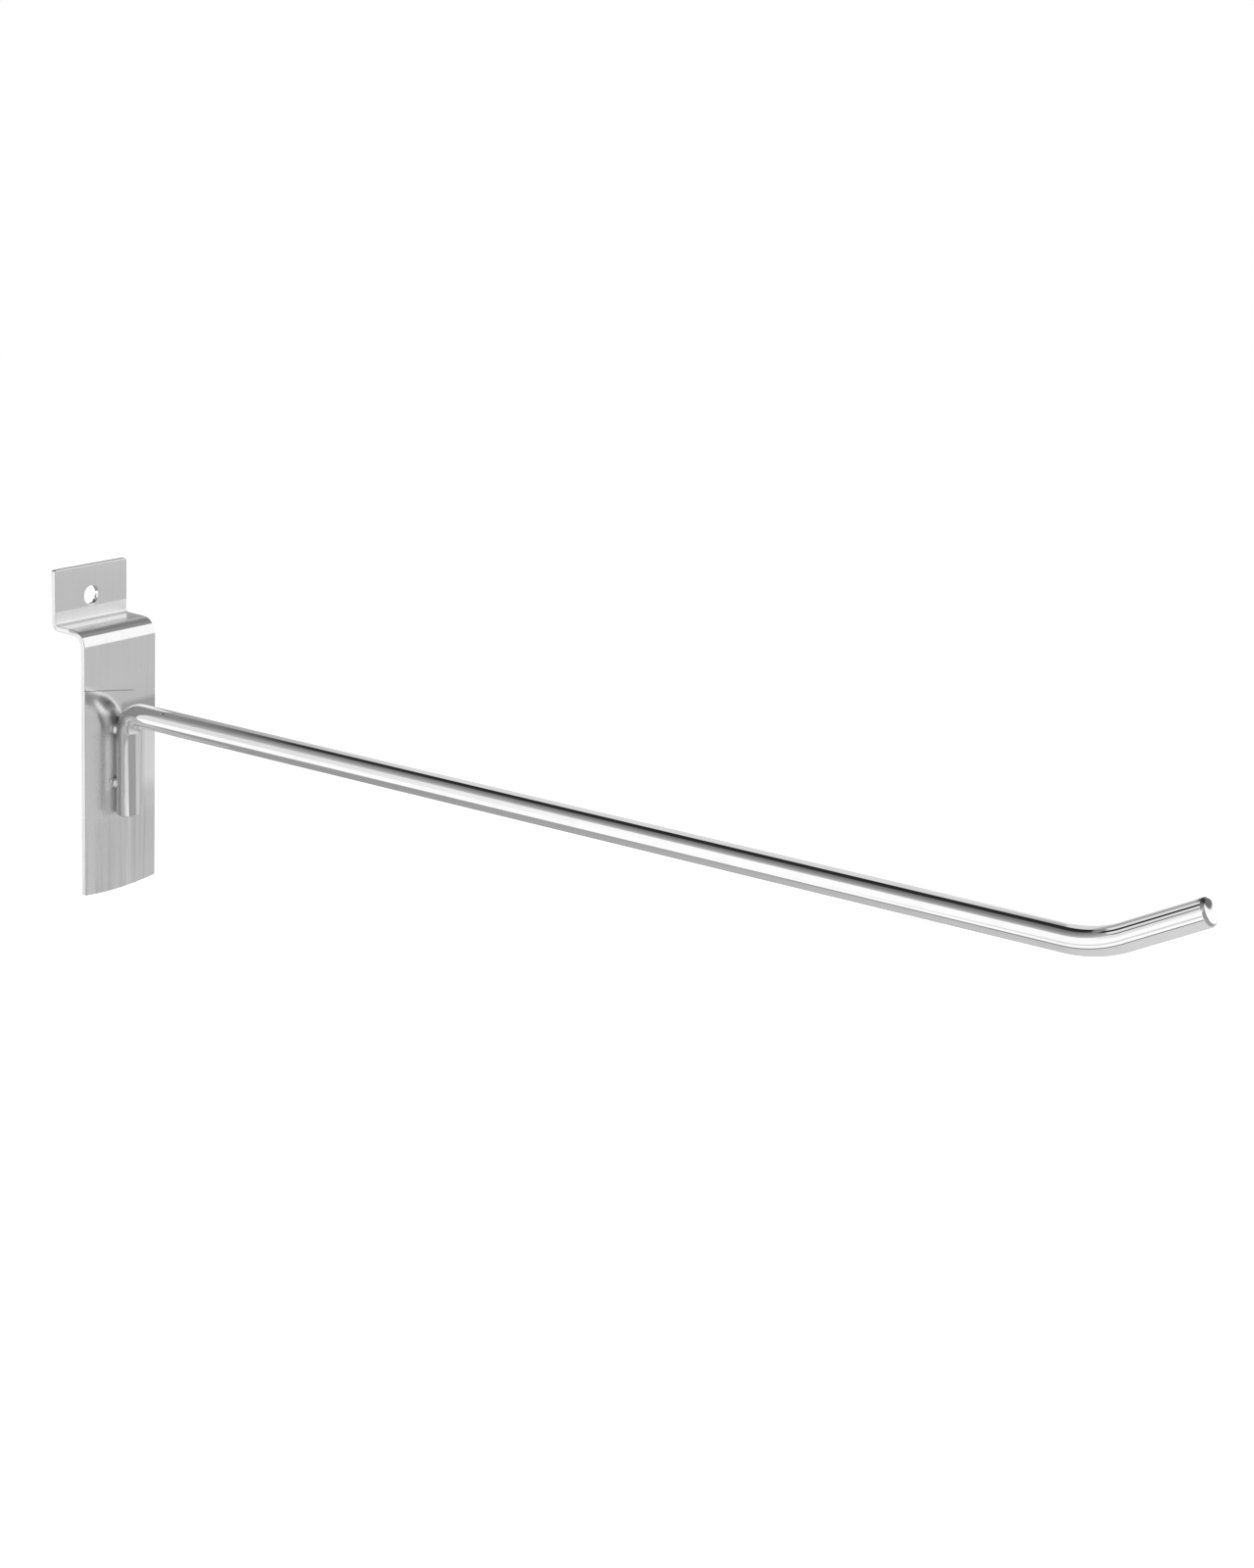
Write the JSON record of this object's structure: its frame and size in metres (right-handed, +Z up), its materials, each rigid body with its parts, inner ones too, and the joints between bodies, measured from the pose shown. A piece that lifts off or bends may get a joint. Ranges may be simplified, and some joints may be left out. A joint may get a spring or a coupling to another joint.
{
  "type": "slatwall hook",
  "caption": "Wall panel display hook: a round wire arm with an upturned tip, welded to a bent plate whose shelf and tab reach behind a slat.",
  "frame": {"origin": "on the plate's back face, on its upright centre line, at the height where the arm's axis meets the leg's axis", "axes": "+Z up the plate, +Y into the wall panel, the arm runs out along -Y, X across the plate"},
  "size_m": [0.0254, 0.3184, 0.0872],
  "materials": {
    "plate_chrome": "bright plating over rolled sheet, faint upright streaks",
    "wire_chrome": "bright plating over drawn wire",
    "weld_chrome": "plated weld metal, slightly lumpy"
  },
  "bodies": {
    "root": {"back_plate": "plate_chrome", "hook_wire": "wire_chrome", "weld_beads": "weld_chrome"}
  },
  "joints": []
}
